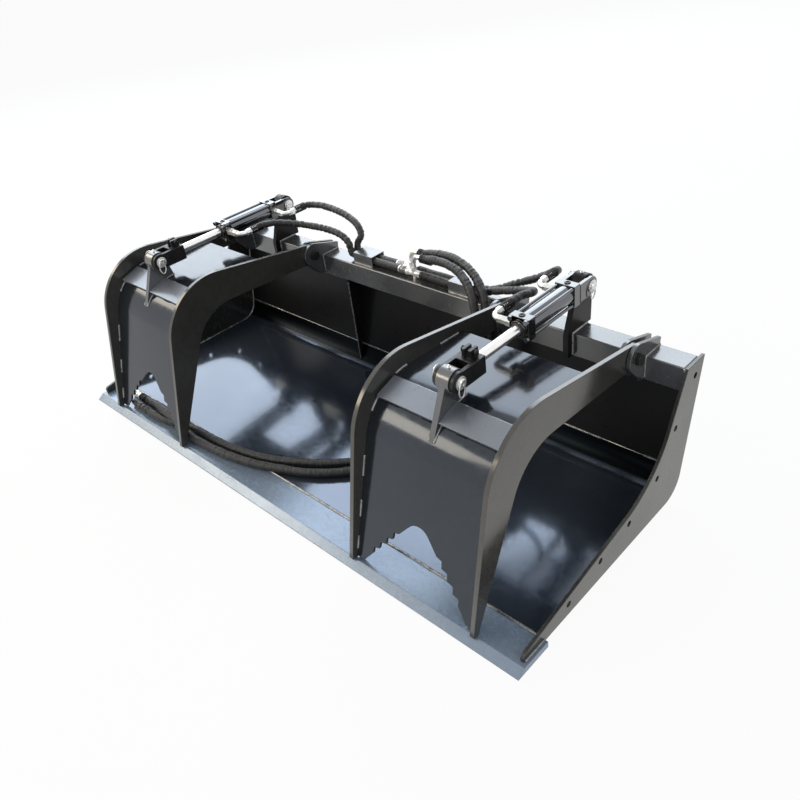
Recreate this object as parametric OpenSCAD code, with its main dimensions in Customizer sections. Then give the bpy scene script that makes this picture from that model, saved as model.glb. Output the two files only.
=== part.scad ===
// Grapple bucket for a skid steer loader: an 80 in bucket with two hydraulic grapples.
// Millimetres. X runs across the bucket, the cutting edge faces -Y, Z is up.
// Every piece is drawn with y = 0 at the cutting edge; the last lines centre it on the origin.

/* [Bucket] */
// Width over the cutting edge, 80 in
bucket_w = 2032; // [1700:1:2300]
// Depth of the cutting edge plate, front to back
edge_d = 122; // [100:1:160]
// Thickness of the cutting edge plate
edge_t = 20; // [16:1:25]
// Length of the ground bevel on the cutting edge
bevel_d = 25; // [15:1:40]
// Height left at the very front of the bevel
bevel_lip = 4; // [2:0.5:8]
// How far the cutting edge stands out past each side plate
edge_over = 11; // [4:1:25]
// Height of the side plates and the top tube
bucket_h = 441; // [400:1:480]
// Lean of the back towards the rear, in degrees
back_lean = 10.8; // [6:0.1:14]
// Where the outer face of the back would meet the ground
back_foot_y = 778; // [700:1:860]
// Thickness of the floor and back sheets
sheet_t = 8; // [6:1:10]
// Outer radius of the bend between floor and back
bend_r = 78; // [60:1:110]
// Height of the weld line between the bent floor and the back sheet
seam_z = 92; // [86:1:120]
// Opening of the seam between the two sheets
seam_gap = 1; // [0.5:0.1:2]

/* [Side plates] */
// Thickness of a side plate
side_t = 10; // [8:1:14]
// Where the front end of a side plate stands on the cutting edge
side_nose_y = 36; // [20:1:60]
// Height of the front end of a side plate
side_nose_z = 42; // [34:1:60]
// Radius of the front top corner
side_nose_r = 12; // [2:1:16]
// Radius of the hollow front edge
side_curve_r = 274; // [200:1:320]
// Diameter of the holes for bolt-on side cutters
side_hole_d = 17.5; // [14:0.5:20]

/* [Top tube] */
// Clearance between the rear of the tube and the outer face of the back
tube_gap = 1.6; // [1:0.1:4]
// Side of the square tube
tube_s = 76; // [60:1:90]
// Wall of the tube
tube_wall = 6; // [4:0.5:8]
// Distance of the two stiffening gussets from the middle
gusset_x = 292; // [200:1:380]
// Thickness of a gusset
gusset_t = 10; // [8:1:14]

/* [Grapples] */
// Distance from the middle of the bucket to the middle of a grapple
grapple_x = 650; // [560:1:720]
// How far the left cylinder stands outside the middle of its grapple
left_shift = 26; // [0:1:40]
// Width over the two side plates of a grapple
grapple_w = 446; // [380:1:480]
// Thickness of the grapple side plates
claw_t = 14; // [10:1:18]
// Pivot of the grapples: distance from the cutting edge
pivot_y = 728; // [700:1:740]
// Pivot of the grapples: height
pivot_z = 457; // [450:1:470]
// Radius of the rounded end of a claw at the pivot
claw_end_r = 38; // [32:1:42]
// Radius of the shoulder of a claw
shoulder_r = 204; // [160:1:230]
// Radius of the inside of the shoulder
inner_r = 165; // [120:1:190]
// Thickness of the bent skin
skin_t = 8; // [6:1:10]
// Outer radius of the bend in the skin
skin_r = 178; // [140:1:200]
// Rear edge of the skin
skin_rear_y = 548; // [500:1:560]
// Thickness of the shoulder bar
bar_t = 8; // [6:1:10]
// Width of the shoulder bar
bar_w = 74; // [60:1:90]
// Gap between each end of the shoulder bar and the claw
bar_end_gap = 8; // [4:1:14]
// Thickness of the lug plate
lug_t = 18; // [12:1:20]
// Radius of the bosses on the lug and on the mast
boss_r = 32; // [28:1:36]
// Length of the bosses
boss_l = 40; // [30:1:44]

/* [Pivots] */
// Diameter of the grapple pivot pins
pivot_pin_d = 25.4; // [20:0.1:30]
// Radius of the rounded nose of an ear
ear_r = 42; // [40:1:48]
// Thickness of an ear
ear_t = 12; // [8:1:14]
// Side play between a claw and each ear
ear_gap = 1; // [0.5:0.1:2]
// Radial clearance of a pin in a turning bore
pin_fit = 0.05; // [0.02:0.01:0.1]

/* [Cylinders] */
// Distance from the cutting edge to the rod pin, claws closed
rod_pin_y = 256; // [220:1:290]
// Distance from the cutting edge to the mast pin
mast_pin_y = 825; // [810:1:840]
// Height of the cylinder axis, claws closed
cyl_z = 574; // [565:1:590]
// Bore of the cylinder, 2 in
cyl_bore = 50.8; // [45:0.1:52]
// Outer diameter of the barrel
barrel_d = 58; // [54:0.5:60]
// Side of the square heads
head_s = 64; // [62:1:70]
// Thickness of each head
head_t = 28; // [22:1:32]
// Clear length inside the barrel, between the heads
barrel_l = 180; // [170:1:200]
// Distance from the mast pin to the rear head
base_gap = 56; // [50:1:64]
// Diameter of the rod
rod_d = 28.6; // [24:0.1:32]
// Diameter of the rod pin and the mast pin
cyl_pin_d = 25.4; // [20:0.1:28]
// Diameter of a tie rod
tie_d = 9.5; // [8:0.1:10]
// Thickness of a fork tine
tine_t = 12; // [9:0.5:14]
// Length of the rod clevis behind its pin
clevis_l = 98; // [92:1:104]
// Extra radius of the bore in the lug boss, which the rod pin needs while the claws swing
lug_play = 9; // [8.5:0.1:12.5]
// Thickness of the mast plate
mast_t = 18; // [12:1:20]

/* [Hydraulics] */
// Outer diameter of the hoses between the cylinders and the tees
hose_d = 26; // [22:1:26]
// Outer diameter of the two sleeved hoses that lead to the loader
supply_d = 28; // [22:1:30]
// Reach of a cylinder fitting before its bend
fitting_l = 45; // [36:1:60]
// Length of a cylinder fitting behind its bend
fitting_tail = 42; // [30:1:50]
// Radius of the bend in a cylinder fitting
fitting_bend = 25; // [18:1:30]
// Length of a hose guard
guard_l = 94; // [70:1:120]
// Depth of a hose guard, front to back
guard_d = 62; // [60:1:66]
// Height of a hose guard
guard_h = 38; // [36:1:44]
// Wall of a hose guard
guard_wall = 4; // [3:0.5:4.5]

/* [Quick attach] */
// Width of the quick attach plate
attach_w = 1130; // [1118:1:1140]
// Height of the quick attach plate
attach_h = 403; // [395:1:406]
// Thickness of the quick attach plate
attach_t = 10; // [8:1:12]
// Distance from the ground to the foot of the plate, along the back
attach_foot = 18; // [16:1:24]
// Gap that keeps the plate off the back sheet
attach_gap = 0.002; // [0.001:0.001:0.01]
// Reach of the top hook
hook_d = 34; // [28:1:40]
// Thickness of the hook and of the foot
hook_t = 12; // [9:1:14]
// Reach of the foot flange
foot_d = 58; // [50:1:64]
// Width of the wedge slots
slot_w = 28; // [24:1:32]
// Length of the wedge slots
slot_l = 60; // [56:1:70]
// Distance between the two wedge slots
slot_gap = 920; // [900:1:960]

/* [Hidden] */
$fn = 64;
side_x = bucket_w/2 - edge_over;
inner_x = side_x - side_t;
floor_top = edge_t;
floor_low = edge_t - sheet_t;
lean_tan = tan(back_lean);
tube_top = bucket_h;
tube_low = bucket_h - tube_s;
tube_y = back_foot_y + lean_tan*tube_low - tube_gap - tube_s;
tube_rear = tube_y + tube_s;
claw_out = grapple_w/2;
claw_in = grapple_w/2 - claw_t;
pivot = [pivot_y, pivot_z];
rod_pin = [rod_pin_y, cyl_z];
mast_pin = [mast_pin_y, cyl_z];
tine_in = boss_l/2 + 0.5;
tine_out = tine_in + tine_t;
base_y = mast_pin_y - base_gap;
barrel_y = base_y - head_t;
gland_y = barrel_y - barrel_l;
head_y = gland_y - head_t;
guard_z = tube_top;
guard_left = -262;
guard_right = 181;
guard_y = tube_rear - guard_d;
hose_rear = guard_y + guard_d/2 + hose_d/2 + 0.2;
hose_front = guard_y + guard_d/2 - hose_d/2 - 0.2;
hose_z = guard_z + guard_h/2;
attach_top = attach_foot + attach_h;
rear_y = back_foot_y + (attach_t + hook_d)*cos(back_lean) + (attach_top - hook_d)*sin(back_lean);
origin_y = -rear_y/2;

// Steel and hose colours
paint = [0.27, 0.29, 0.32];
paint_dark = [0.17, 0.18, 0.20];
black = [0.04, 0.04, 0.05];
zinc = [0.80, 0.81, 0.79];
chrome = [0.86, 0.86, 0.88];
rubber = [0.07, 0.07, 0.08];

// Outline corners as [y, z, radius]
function unit(v) = v/norm(v);
function flat(p) = [p[0], p[1]];
function round_corner(a, p, b, r, n) =
  r <= 0 ? [p] :
  let(u = unit(a - p), v = unit(b - p), half = acos(u*v)/2, t = r/tan(half))
  let(c = p + unit(u + v)*r/sin(half), s = p + u*t, e = p + v*t)
  let(from = atan2(s[1] - c[1], s[0] - c[0]), to = atan2(e[1] - c[1], e[0] - c[0]))
  let(turn = to - from - 360*round((to - from)/360))
  [for (i = [0:n]) c + r*[cos(from + turn*i/n), sin(from + turn*i/n)]];
function outline(pts, n = 20) =
  let(k = len(pts))
  [for (i = [0:k - 1])
    each round_corner(flat(pts[(i + k - 1)%k]), flat(pts[i]), flat(pts[(i + 1)%k]), pts[i][2], n)];
// The corner of the same bend on the other face of a plate
function inset_corner(a, p, b, t) =
  let(u = unit(a - p), v = unit(b - p), half = acos(u*v)/2)
  p + unit(u + v)*t/sin(half);
function side_of(u, t) = t*[-u[1], u[0]];

// A flat piece with its outline in the Y-Z plane, from x0 to x1
module across(x0, x1) {
  translate([x0, 0, 0]) rotate([90, 0, 90]) linear_extrude(x1 - x0) children();
}
module rod_x(x0, x1, p, r) {
  translate([x0, p[0], p[1]]) rotate([0, 90, 0]) cylinder(h = x1 - x0, r = r);
}

// Where the outer face of the back is at a height
function back_y(z) = back_foot_y + lean_tan*z;
bend_corner = [back_y(floor_low), floor_low];
seam_y = back_y(seam_z);
inner_t = sheet_t/cos(back_lean);

module cutting_edge() {
  color(paint) across(-bucket_w/2, bucket_w/2)
    polygon([[0, 0], [edge_d, 0], [edge_d, edge_t], [bevel_d, edge_t], [0, bevel_lip]]);
}

module floor_sheet() {
  low = [edge_d, floor_low];
  top = [seam_y, seam_z];
  inside = inset_corner(low, bend_corner, top, sheet_t);
  color(paint) across(-inner_x, inner_x)
    polygon(outline([[low[0], low[1], 0], [bend_corner[0], bend_corner[1], bend_r],
                     [top[0], top[1], 0], [top[0] - inner_t, top[1], 0],
                     [inside[0], inside[1], bend_r - sheet_t], [edge_d, floor_top, 0]]));
}

module back_sheet() {
  low = seam_z + seam_gap;
  color(paint_dark) across(-inner_x, inner_x)
    polygon([[back_y(low), low], [back_y(tube_low), tube_low],
             [back_y(tube_low) - inner_t, tube_low], [back_y(low) - inner_t, low]]);
}

// Front edge of a side plate: a steep line down from the tube, a hollow bend and a long flat line
side_bend = [641.5, 150.3];
side_hole_places = [[817, 398], [731, 276], [649, 157], [509, 100], [370, 78], [226, 49]];

module side_plate(s) {
  color(paint) difference() {
    across(min(s*inner_x, s*side_x), max(s*inner_x, s*side_x))
      polygon(outline([[side_nose_y, floor_top, 0], [edge_d, floor_top, 0], [edge_d, floor_low, 0],
                       [bend_corner[0], bend_corner[1], bend_r], [back_y(bucket_h), bucket_h, 0],
                       [tube_y, bucket_h, 0], [side_bend[0], side_bend[1], side_curve_r],
                       [side_nose_y, side_nose_z, side_nose_r]]));
    for (p = side_hole_places) rod_x(s*(inner_x + side_x)/2 - side_t, s*(inner_x + side_x)/2 + side_t,
                                     p, side_hole_d/2);
  }
}

module top_tube() {
  color(paint_dark) difference() {
    translate([-inner_x, tube_y, tube_low]) cube([2*inner_x, tube_s, tube_s]);
    translate([-inner_x - 1, tube_y + tube_wall, tube_low + tube_wall])
      cube([2*inner_x + 2, tube_s - 2*tube_wall, tube_s - 2*tube_wall]);
  }
}

// Stands between the tube and the floor, with its front edge upright
module gusset(s) {
  front = tube_y - 5;
  low = [edge_d, floor_low];
  top = [seam_y, seam_z];
  inside = inset_corner(low, bend_corner, top, sheet_t);
  x0 = s*gusset_x - (s < 0 ? gusset_t : 0);
  color(paint_dark) across(x0, x0 + gusset_t) intersection() {
    polygon([[front, 0], [front, tube_low], [tube_rear, tube_low], [tube_rear, 0]]);
    polygon(outline([[edge_d, floor_top, 0], [inside[0], inside[1], bend_r - sheet_t],
                     [back_y(tube_top) - inner_t, tube_top, 0], [edge_d, tube_top, 0]]));
  }
}

module tube_gussets() {
  gusset(-1);
  gusset(1);
}

// Flat runners under the floor, level with the underside of the cutting edge
wear_w = 75;
wear_x = [-760, 0, 760];
wear_rear = 700;
module wear_bars() {
  color(paint_dark) for (x = wear_x)
    translate([x - wear_w/2, edge_d, 0]) cube([wear_w, wear_rear - edge_d, floor_low]);
}

// Pair of ears on each side of a claw, notched over the tube
module ear_shape() {
  difference() {
    union() {
      translate(pivot) circle(ear_r);
      polygon([pivot + ear_r*[cos(74), sin(74)], [tube_rear + 3, tube_top + 22], [tube_rear, tube_top],
               [tube_y, tube_top], [tube_y, tube_low + 8], [tube_y - 25, tube_low + 11],
               pivot + ear_r*[cos(210), sin(210)]]);
    }
    translate([tube_y, tube_low]) square([tube_s, tube_s]);
  }
}
module ear_pair(x0, x1) {
  for (x = [x0 - ear_gap - ear_t, x1 + ear_gap])
    difference() {
      across(x, x + ear_t) ear_shape();
      rod_x(x - 1, x + ear_t + 1, pivot, pivot_pin_d/2);
    }
}
module ears(gx) {
  color(paint_dark) {
    ear_pair(gx - claw_out, gx - claw_in);
    ear_pair(gx + claw_in, gx + claw_out);
  }
}

// Headed pin with a nut, through a pair of ears
pin_head_r = 19;
pin_head_t = 12;
module pivot_pin(x0, x1) {
  a = x0 - ear_gap - ear_t;
  b = x1 + ear_gap + ear_t;
  color(zinc) {
    rod_x(a - pin_head_t, b + pin_head_t, pivot, pivot_pin_d/2);
    translate([b, pivot_y, pivot_z]) rotate([0, 90, 0]) cylinder(h = pin_head_t, r = pin_head_r, $fn = 6);
    translate([a - pin_head_t, pivot_y, pivot_z]) rotate([0, 90, 0])
      cylinder(h = pin_head_t, r = pin_head_r, $fn = 6);
  }
}
module pivot_pins(gx) {
  pivot_pin(gx - claw_out, gx - claw_in);
  pivot_pin(gx + claw_in, gx + claw_out);
}

// Mast plate that carries the rear of a cylinder, notched over the tube
mast_lap = 24;
module mast(gx) {
  color(paint_dark) difference() {
    union() {
      across(gx - mast_t/2, gx + mast_t/2) difference() {
        union() {
          polygon([[tube_y - mast_lap, tube_low + 2], [tube_y - mast_lap, tube_top], [tube_y + 14, cyl_z - 30],
                   [mast_pin_y - boss_r + 2, cyl_z], [mast_pin_y + boss_r - 2, cyl_z],
                   [mast_pin_y + 42, cyl_z - 60], [tube_rear + 18, tube_top], [tube_rear, tube_top],
                   [tube_y, tube_low + 2]]);
          translate(mast_pin) circle(boss_r - 2);
        }
        translate([tube_y, tube_low]) square([tube_s, tube_s]);
      }
      rod_x(gx - boss_l/2, gx + boss_l/2, mast_pin, boss_r);
    }
    rod_x(gx - boss_l, gx + boss_l, mast_pin, cyl_pin_d/2 + pin_fit);
  }
}

// Outline of a claw: outer line, shoulder, prong, tip, inner line
claw_shoulder = [142, 592];
claw_crook = [249, 453];
claw_tip = [14, 27];
module claw_shape() {
  difference() {
    union() {
      translate(pivot) circle(claw_end_r);
      polygon(outline([[pivot_y, pivot_z + claw_end_r, 0], [claw_shoulder[0], claw_shoulder[1], shoulder_r],
                       [claw_tip[0], claw_tip[1], 0], [claw_tip[0] + 2, edge_t + 1, 0],
                       [claw_tip[0] + 19, edge_t + 1, 0], [claw_crook[0], claw_crook[1], inner_r],
                       [pivot_y - 28, pivot_z - 33, 0]], 24));
    }
  }
}
module claw(x0) {
  color(paint) difference() {
    across(x0, x0 + claw_t) claw_shape();
    rod_x(x0 - 1, x0 + claw_t + 1, pivot, pivot_pin_d/2 + pin_fit);
  }
}

// Bent skin between the claws, with a toothed notch between the two prongs
skin_top = [skin_rear_y, 495];
skin_corner = [178, 514];
skin_foot = [33, 26];
prong_half = claw_in - 27;
notch_peak = 234;
notch_r = 43;
tooth_rise = 20;
tooth_run = 22;
tooth_lift = 5;
teeth = 4;
tooth_x = prong_half - 31;
tooth_z = 62;
crown_x = tooth_x - teeth*tooth_run + 2;
crown_z = tooth_z + teeth*(tooth_rise + tooth_lift);
function notch_side(s) =
  [each [[s*prong_half, -40], [s*prong_half, skin_foot[1]]],
   for (i = [0:teeth - 1]) each
     [[s*(tooth_x - i*tooth_run), tooth_z + i*(tooth_rise + tooth_lift)],
      [s*(tooth_x - i*tooth_run - 2), tooth_z + i*(tooth_rise + tooth_lift) + tooth_rise]],
   [s*crown_x, crown_z]];
function reversed(v) = [for (i = [len(v) - 1:-1:0]) v[i]];
function notch() =
  let(crown = round_corner([-crown_x, crown_z], [0, notch_peak], [crown_x, crown_z], notch_r, 10))
  concat(notch_side(-1), crown, reversed(notch_side(1)));

function skin_outer() =
  [[skin_top[0], skin_top[1], 0], [skin_corner[0], skin_corner[1], skin_r], [skin_foot[0], skin_foot[1], 0]];
skin_u = unit(skin_corner - skin_top);
skin_v = unit(skin_foot - skin_corner);
skin_inside = inset_corner(skin_top, skin_corner, skin_foot, skin_t);
module skin(gx) {
  top = skin_top + side_of(skin_u, skin_t);
  foot = skin_foot + side_of(skin_v, skin_t);
  color(paint) difference() {
    across(gx - claw_in, gx + claw_in)
      polygon(outline(concat(skin_outer(), [[foot[0], foot[1], 0],
                                            [skin_inside[0], skin_inside[1], skin_r - skin_t],
                                            [top[0], top[1], 0]]), 24));
    translate([gx, 160, 0]) rotate([90, 0, 0]) linear_extrude(300) polygon(notch());
  }
}

// Flat bar laid on the shoulder: it touches the bend along one line and stands off at its front edge
bar_slope = 17.4;
skin_centre = skin_corner + unit(unit(skin_top - skin_corner) + unit(skin_foot - skin_corner))
  *skin_r/sin(acos(unit(skin_top - skin_corner)*unit(skin_foot - skin_corner))/2);
bar_touch = skin_centre + (skin_r + 0.1)*[-sin(bar_slope), cos(bar_slope)];
bar_tail = 8;
module bar_shape() {
  translate(bar_touch) rotate(180 + bar_slope) translate([-bar_tail, -bar_t]) square([bar_w, bar_t]);
}
module shoulder_bar(gx, at) {
  color(paint) difference() {
    across(gx - claw_in + bar_end_gap, gx + claw_in - bar_end_gap) bar_shape();
    translate([at - lug_t/2, 0, 0]) cube([lug_t, 600, 700]);
  }
}

// Upright lug that takes the push of the cylinder
module lug(gx) {
  fill = outline(concat(skin_outer(), [[400, 20, 0], [skin_top[0], 200, 0]]), 24);
  color(paint) difference() {
    union() {
      across(gx - lug_t/2, gx + lug_t/2) difference() {
        union() {
          polygon([[rod_pin_y - boss_r + 3, cyl_z], [rod_pin_y + boss_r - 3, cyl_z], [304, 490], [200, 440],
                   [144, 385]]);
          translate(rod_pin) circle(boss_r - 2);
        }
        polygon(fill);
      }
      rod_x(gx - boss_l/2, gx + boss_l/2, rod_pin, boss_r);
    }
    rod_x(gx - boss_l, gx + boss_l, rod_pin, cyl_pin_d/2 + lug_play);
  }
}

// Cylinder pieces, all along the line between the two pins
module square_y(y0, y1, s) {
  translate([-s/2, y0, cyl_z - s/2]) cube([s, y1 - y0, s]);
}
module rod_y(y0, y1, r, dx = 0, dz = 0) {
  translate([dx, y0, cyl_z + dz]) rotate([-90, 0, 0]) cylinder(h = y1 - y0, r = r);
}
tie_at = barrel_d/2*0.7071 + 4.2;
module tie_holes(y0, y1, r) {
  for (x = [-tie_at, tie_at], z = [-tie_at, tie_at]) rod_y(y0, y1, r, x, z);
}

module barrel(gx) {
  color(black) translate([gx, 0, 0]) difference() {
    rod_y(gland_y, barrel_y, barrel_d/2);
    rod_y(gland_y - 1, barrel_y + 1, cyl_bore/2);
  }
}

gland_nose = 8;
module front_head(gx) {
  color(black) translate([gx, 0, 0]) difference() {
    union() {
      square_y(head_y, gland_y, head_s);
      rod_y(head_y - gland_nose, head_y, 24);
    }
    rod_y(head_y - gland_nose - 1, gland_y + 1, rod_d/2 + pin_fit);
    tie_holes(head_y - 1, gland_y + 1, tie_d/2);
  }
}

ear_end_r = 27;
module base_cap(gx) {
  color(black) translate([gx, 0, 0]) difference() {
    union() {
      square_y(barrel_y, base_y, head_s);
      for (x = [-tine_out, tine_in])
        across(x, x + tine_t) {
          translate([base_y, cyl_z - ear_end_r]) square([base_gap, 2*ear_end_r]);
          translate(mast_pin) circle(ear_end_r);
        }
    }
    rod_x(-tine_out - 1, tine_out + 1, mast_pin, cyl_pin_d/2);
    tie_holes(barrel_y - 1, base_y + 1, tie_d/2);
  }
}

nut_t = 8;
module tie_rods(gx) {
  color(black) translate([gx, 0, 0]) {
    tie_holes(head_y - nut_t, base_y, tie_d/2);
    for (x = [-tie_at, tie_at], z = [-tie_at, tie_at])
      translate([x, head_y - nut_t, cyl_z + z]) rotate([-90, 0, 0]) cylinder(h = nut_t, r = 8, $fn = 6);
  }
}

// Bent steel fittings in the ports, on the side that faces the middle of the bucket
fitting_r = 8;
module nut_x(x0, l, r) {
  translate([x0, 0, 0]) rotate([0, 90, 0]) cylinder(h = l, r = r, $fn = 6);
}
module port_fitting(s, y) {
  bend_x = s*(head_s/2 + fitting_l);
  translate([0, y, cyl_z]) {
    nut_x(s > 0 ? head_s/2 : -head_s/2 - 16, 16, 14);
    nut_x(s > 0 ? head_s/2 + 16 : -head_s/2 - fitting_l, fitting_l - 16, 12);
    translate([bend_x, fitting_bend, 0]) rotate([0, 0, s > 0 ? -90 : 180])
      rotate_extrude(angle = 90) translate([fitting_bend, 0]) circle(fitting_r);
    translate([bend_x + s*fitting_bend, fitting_bend, 0]) rotate([-90, 0, 0]) {
      cylinder(h = 16, r = 11, $fn = 6);
      translate([0, 0, 16]) cylinder(h = fitting_tail - 16, r = 13, $fn = 6);
    }
  }
}
rod_port_y = head_y + head_t/2;
base_port_y = barrel_y + head_t/2;
module ports(gx) {
  s = gx > 0 ? -1 : 1;
  color(zinc) translate([gx, 0, 0]) {
    port_fitting(s, rod_port_y);
    port_fitting(s, base_port_y);
  }
}
// Where the hoses start at the fittings
fitting_x = head_s/2 + fitting_l + fitting_bend;
rod_hose_y = rod_port_y + fitting_bend + fitting_tail;
base_hose_y = base_port_y + fitting_bend + fitting_tail;

// Cylinder pin with a head on its right and a split pin on its left
cyl_head_r = 17;
module cyl_pin(gx, p) {
  color(zinc) {
    rod_x(gx - tine_out - 14, gx + tine_out + 10, p, cyl_pin_d/2);
    rod_x(gx + tine_out + 0.3, gx + tine_out + 10, p, cyl_head_r);
    rod_x(gx - tine_out - 4, gx - tine_out - 0.3, p, cyl_head_r);
    translate([gx - tine_out - 9, p[0], p[1] - 26]) cylinder(h = 52, r = 2.2, $fn = 16);
  }
}

piston_t = 36;
piston_y = gland_y + 6;
module rod(gx) {
  color(chrome) translate([gx, 0, 0]) {
    rod_y(rod_pin_y + 60, piston_y + piston_t, rod_d/2);
    rod_y(piston_y, piston_y + piston_t, cyl_bore/2 - pin_fit);
  }
}

clevis_s = 50;
throat_y = 50;
module clevis(gx) {
  color(black) translate([gx, 0, 0]) difference() {
    union() {
      for (x = [-tine_out, tine_in])
        across(x, x + tine_t) {
          translate([rod_pin_y, cyl_z - clevis_s/2]) square([clevis_l, clevis_s]);
          translate(rod_pin) circle(clevis_s/2 + 3);
        }
      translate([-tine_in, rod_pin_y + throat_y, cyl_z - clevis_s/2])
        cube([2*tine_in, clevis_l - throat_y, clevis_s]);
      for (x = [-15, 5])
        translate([x, rod_pin_y + clevis_l - 34, cyl_z + clevis_s/2]) cube([10, 30, 22]);
    }
    rod_x(-tine_out - 1, tine_out + 1, rod_pin, cyl_pin_d/2);
    rod_y(rod_pin_y + 60, rod_pin_y + clevis_l + 1, rod_d/2);
    translate([-5, rod_pin_y + 60, cyl_z]) cube([10, clevis_l, 60]);
    rod_x(-20, 20, [rod_pin_y + clevis_l - 19, cyl_z + clevis_s/2 + 12], 5);
  }
}
module clamp_bolt(gx) {
  p = [rod_pin_y + clevis_l - 19, cyl_z + clevis_s/2 + 12];
  color(zinc) translate([gx, 0, 0]) {
    rod_x(-24, 24, p, 5);
    for (x = [-23, 15]) translate([x, p[0], p[1]]) rotate([0, 90, 0]) cylinder(h = 8, r = 9, $fn = 6);
  }
}

// Open rectangular tubes on top of the tube, which the hoses run through
module guard(x0) {
  difference() {
    translate([x0, guard_y, guard_z]) cube([guard_l, guard_d, guard_h]);
    translate([x0 - 1, guard_y + guard_wall, guard_z + guard_wall])
      cube([guard_l + 2, guard_d - 2*guard_wall, guard_h - 2*guard_wall]);
  }
}
module hose_guards() {
  color(paint) {
    guard(guard_left);
    guard(guard_right);
  }
}

// Two tees side by side, one for each line, with their branches upwards
tee_x = [-14, 20];
tee_y = [hose_rear, hose_front];
tee_l = 38;
module tee_blocks() {
  color(zinc) for (i = [0, 1]) {
    translate([tee_x[i] - tee_l/2, tee_y[i], hose_z]) rotate([0, 90, 0]) cylinder(h = tee_l, r = 11);
    translate([tee_x[i] - tee_l/2 - 12, tee_y[i], hose_z]) rotate([0, 90, 0]) cylinder(h = 12, r = 13, $fn = 6);
    translate([tee_x[i] + tee_l/2, tee_y[i], hose_z]) rotate([0, 90, 0]) cylinder(h = 12, r = 13, $fn = 6);
    translate([tee_x[i], tee_y[i], tube_top]) cylinder(h = hose_z - tube_top, r = 7);
    translate([tee_x[i], tee_y[i], hose_z]) cylinder(h = 24, r = 11, $fn = 6);
  }
}
swan_r = 26;
swan_rise = 12;
swan_end = [tee_x[0] + swan_r + 14, tee_x[1] + swan_r + 14];
swan_z = hose_z + 24 + swan_rise + swan_r;
module swan_tubes() {
  color(zinc) for (i = [0, 1]) {
    translate([tee_x[i], tee_y[i], hose_z + 24]) cylinder(h = swan_rise, r = fitting_r);
    translate([tee_x[i] + swan_r, tee_y[i], hose_z + 24 + swan_rise]) rotate([90, 0, 0])
      rotate([0, 0, 90]) rotate_extrude(angle = 90) translate([swan_r, 0]) circle(fitting_r);
    translate([tee_x[i] + swan_r, tee_y[i], swan_z]) rotate([0, 90, 0]) cylinder(h = 14, r = fitting_r);
  }
}

// Hose routes: points in millimetres, chosen by hand
function tangents(p) =
  [for (i = [0:len(p) - 1]) unit(p[min(i + 1, len(p) - 1)] - p[max(i - 1, 0)])];
function square_to(n, t) = unit(n - (n*t)*t);
function normals(t) =
  [for (i = 0, n = square_to([0.3, 0.5, 0.8], t[0]); i < len(t);
        i = i + 1, n = i < len(t) ? square_to(n, t[i]) : n) n];
module hose(p, d, sides) {
  t = tangents(p);
  u = normals(t);
  k = len(p);
  pts = [for (i = [0:k - 1], j = [0:sides - 1])
    p[i] + d/2*(cos(360*j/sides)*u[i] + sin(360*j/sides)*cross(t[i], u[i]))];
  walls = [for (i = [0:k - 2], j = [0:sides - 1])
    let(a = i*sides + j, b = i*sides + (j + 1)%sides) each [[a, a + sides, b], [b, a + sides, b + sides]]];
  ends = [[for (j = [0:sides - 1]) j], [for (j = [sides - 1:-1:0]) (k - 1)*sides + j]];
  color(rubber) polyhedron(points = pts, faces = concat(walls, ends));
}

left_x = -grapple_x - left_shift + fitting_x;
right_x = grapple_x - fitting_x;
guard_end = guard_right + guard_l;
hose_lap = 22;
left_base_route = [
  [left_x, base_hose_y, cyl_z], [left_x, 848, cyl_z], [-556, 873, cyl_z - 2], [-505, 880, cyl_z],
  [-440, 880, cyl_z - 3], [-370, 873, tube_top + 123], [-308, 862, tube_top + 106],
  [-278, 850, tube_top + 76], [-288, 837, tube_top + 47], [-280, hose_rear, hose_z],
  [guard_left + hose_lap, hose_rear, hose_z]];
left_rod_route = [
  [left_x, rod_hose_y, cyl_z], [left_x, 645, cyl_z], [-558, 708, cyl_z - 12], [-487, 764, tube_top + 106],
  [-402, 795, tube_top + 94], [-336, 803, tube_top + 82], [-299, 802, tube_top + 62],
  [-292, 802, tube_top + 37], [-280, hose_front, hose_z], [guard_left + hose_lap, hose_front, hose_z]];
right_base_route = [
  [right_x, base_hose_y, cyl_z], [right_x, 850, cyl_z], [531, 876, tube_top + 119],
  [470, 872, tube_top + 83], [400, 854, tube_top + 53], [340, 836, tube_top + 27],
  [300, hose_rear, hose_z], [guard_end - hose_lap, hose_rear, hose_z]];
right_rod_route = [
  [right_x, rod_hose_y, cyl_z], [right_x, 672, cyl_z], [549, 736, tube_top + 119],
  [506, 772, tube_top + 94], [430, 786, tube_top + 69], [358, 796, tube_top + 43],
  [318, hose_front, hose_z + 6], [292, hose_front, hose_z], [guard_end - hose_lap, hose_front, hose_z]];
supply_rear_route = [
  [swan_end[0], tee_y[0], swan_z], [42, tee_y[0], swan_z], [74, 833, tube_top + 88],
  [140, 832, tube_top + 97], [210, 822, tube_top + 93], [272, 802, tube_top + 81],
  [324, 776, tube_top + 56], [357, 753, tube_top + 14], [369, 741, 394], [375, 733, 325], [378, 722, 260],
  [372, 700, 195], [358, 660, 135], [338, 606, 82], [311, 540, 48], [274, 470, 34.5], [230, 402, 34.5],
  [180, 345, 34.5], [133, 297, 34.5], [75, 248, 34.5], [8, 204, 34.5], [-60, 168, 34.5],
  [-135, 139, 34.5], [-215, 119, 34.5], [-300, 107, 34.5], [-380, 101, 34.5], [-455, 97, 34.5],
  [-530, 84, 34.5], [-610, 66, 34.5], [-680, 60, 34.5], [-745, 60, 34.5]];
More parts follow.
